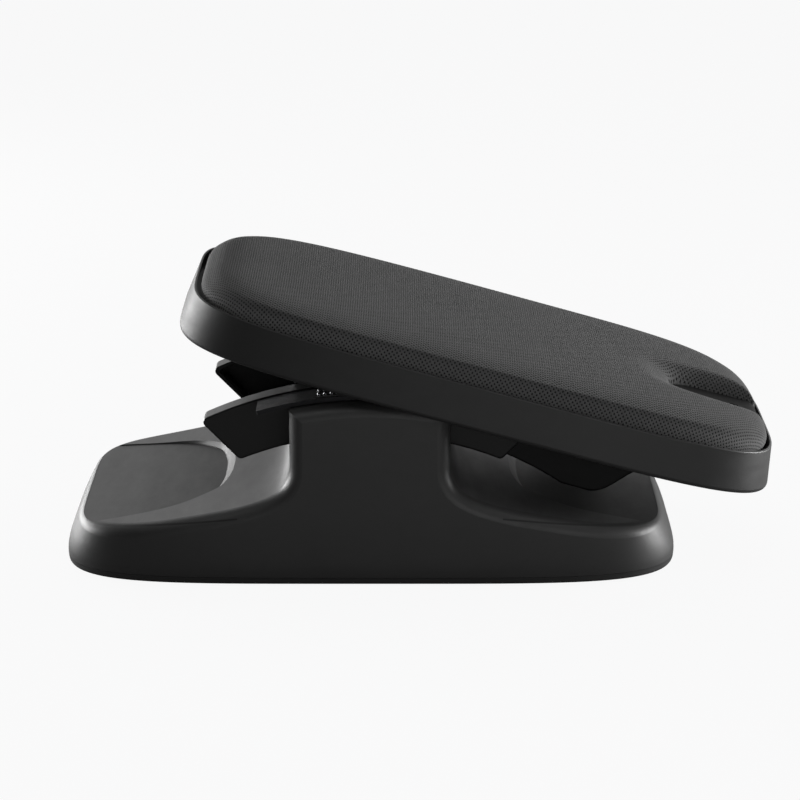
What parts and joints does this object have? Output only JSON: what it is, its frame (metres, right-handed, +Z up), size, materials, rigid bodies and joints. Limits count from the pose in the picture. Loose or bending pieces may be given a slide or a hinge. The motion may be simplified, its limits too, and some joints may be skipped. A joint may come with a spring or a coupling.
{
  "type": "rocking footrest",
  "caption": "Rocking office footrest: padded mesh platform in a shallow tray glides along fixed arc rails on a low winged base, from tilted one way through level to tilted the other.",
  "frame": {"origin": "centre of the underside of the rubber sole, on the floor", "axes": "+X along the length towards the end that is down at rest, +Y across the depth away from the pictured side, +Z up"},
  "size_m": [0.5156, 0.2558, 0.2138],
  "materials": {
    "base_plastic": "charcoal, fine satin texture",
    "pan_plastic": "charcoal, matt",
    "sole_rubber": "black, matt",
    "zinc_steel": "zinc plated",
    "ballast_steel": "dark primer",
    "rail_plastic": "black, satin",
    "flange_steel": "dark satin coat",
    "cage_plastic": "black",
    "ball_steel": "polished",
    "plate_steel": "zinc plated",
    "rim_plastic": "charcoal, fine satin texture",
    "keel_plastic": "black, satin",
    "slide_plastic": "black, smooth",
    "axle_steel": "ground",
    "board_wood": "plywood, unfinished",
    "mesh_fabric": "charcoal spacer mesh",
    "foam": "grey open-cell foam",
    "trim_plastic": "charcoal, smooth satin",
    "roller_plastic": "ivory, smooth",
    "bush_bronze": "sintered bronze"
  },
  "bodies": {
    "base": {"base_shell": "base_plastic", "base_pan": "pan_plastic", "rubber_sole": "sole_rubber", "base_screws": "zinc_steel", "ballast_bars": "ballast_steel", "near_rail_housing": "rail_plastic", "far_rail_housing": "rail_plastic", "near_slide_flange": "flange_steel", "far_slide_flange": "flange_steel", "near_ball_strip": "cage_plastic", "far_ball_strip": "cage_plastic", "near_bearing_balls": "ball_steel", "far_bearing_balls": "ball_steel", "near_mount_plate": "plate_steel", "far_mount_plate": "plate_steel", "rail_screws": "zinc_steel", "rail_end_bumpers": "sole_rubber"},
    "platform": {"platform_tray": "rim_plastic", "carriage_keel": "keel_plastic", "near_moving_rail": "slide_plastic", "far_moving_rail": "slide_plastic", "platform_screws": "zinc_steel", "roller_axles": "axle_steel", "axle_washers": "cage_plastic", "axle_clips": "zinc_steel", "pad_board": "board_wood", "pad_screws": "zinc_steel", "pad_cover": "mesh_fabric", "pad_foam": "foam", "grip_trim": "trim_plastic"},
    "near_left_wheel": {"near_left_roller": "roller_plastic", "near_left_bush": "bush_bronze"},
    "near_right_wheel": {"near_right_roller": "roller_plastic", "near_right_bush": "bush_bronze"},
    "far_left_wheel": {"far_left_roller": "roller_plastic", "far_left_bush": "bush_bronze"},
    "far_right_wheel": {"far_right_roller": "roller_plastic", "far_right_bush": "bush_bronze"}
  },
  "joints": [
    {"name": "platform_rock", "type": "hinge", "parent": "base", "child": "platform", "pos_m": [0, 0, -0.1462], "axis": [0, 1, 0], "range_deg": [-30.8, 0]},
    {"name": "near_left_spin", "type": "hinge", "parent": "platform", "child": "near_left_wheel", "pos_m": [0.05457, -0.0697, 0.11501], "axis": [0, 1, 0], "range_deg": [-502, 2]},
    {"name": "near_right_spin", "type": "hinge", "parent": "platform", "child": "near_right_wheel", "pos_m": [0.08688, -0.0697, 0.10611], "axis": [0, 1, 0], "range_deg": [-502, 2]},
    {"name": "far_left_spin", "type": "hinge", "parent": "platform", "child": "far_left_wheel", "pos_m": [0.05457, 0.0697, 0.11501], "axis": [0, 1, 0], "range_deg": [-502, 2]},
    {"name": "far_right_spin", "type": "hinge", "parent": "platform", "child": "far_right_wheel", "pos_m": [0.08688, 0.0697, 0.10611], "axis": [0, 1, 0], "range_deg": [-502, 2]}
  ],
  "couplings": [
    {"joint": "near_left_spin", "follows": "platform_rock", "ratio": 16.194},
    {"joint": "near_right_spin", "follows": "platform_rock", "ratio": 16.194},
    {"joint": "far_left_spin", "follows": "platform_rock", "ratio": 16.194},
    {"joint": "far_right_spin", "follows": "platform_rock", "ratio": 16.194}
  ]
}
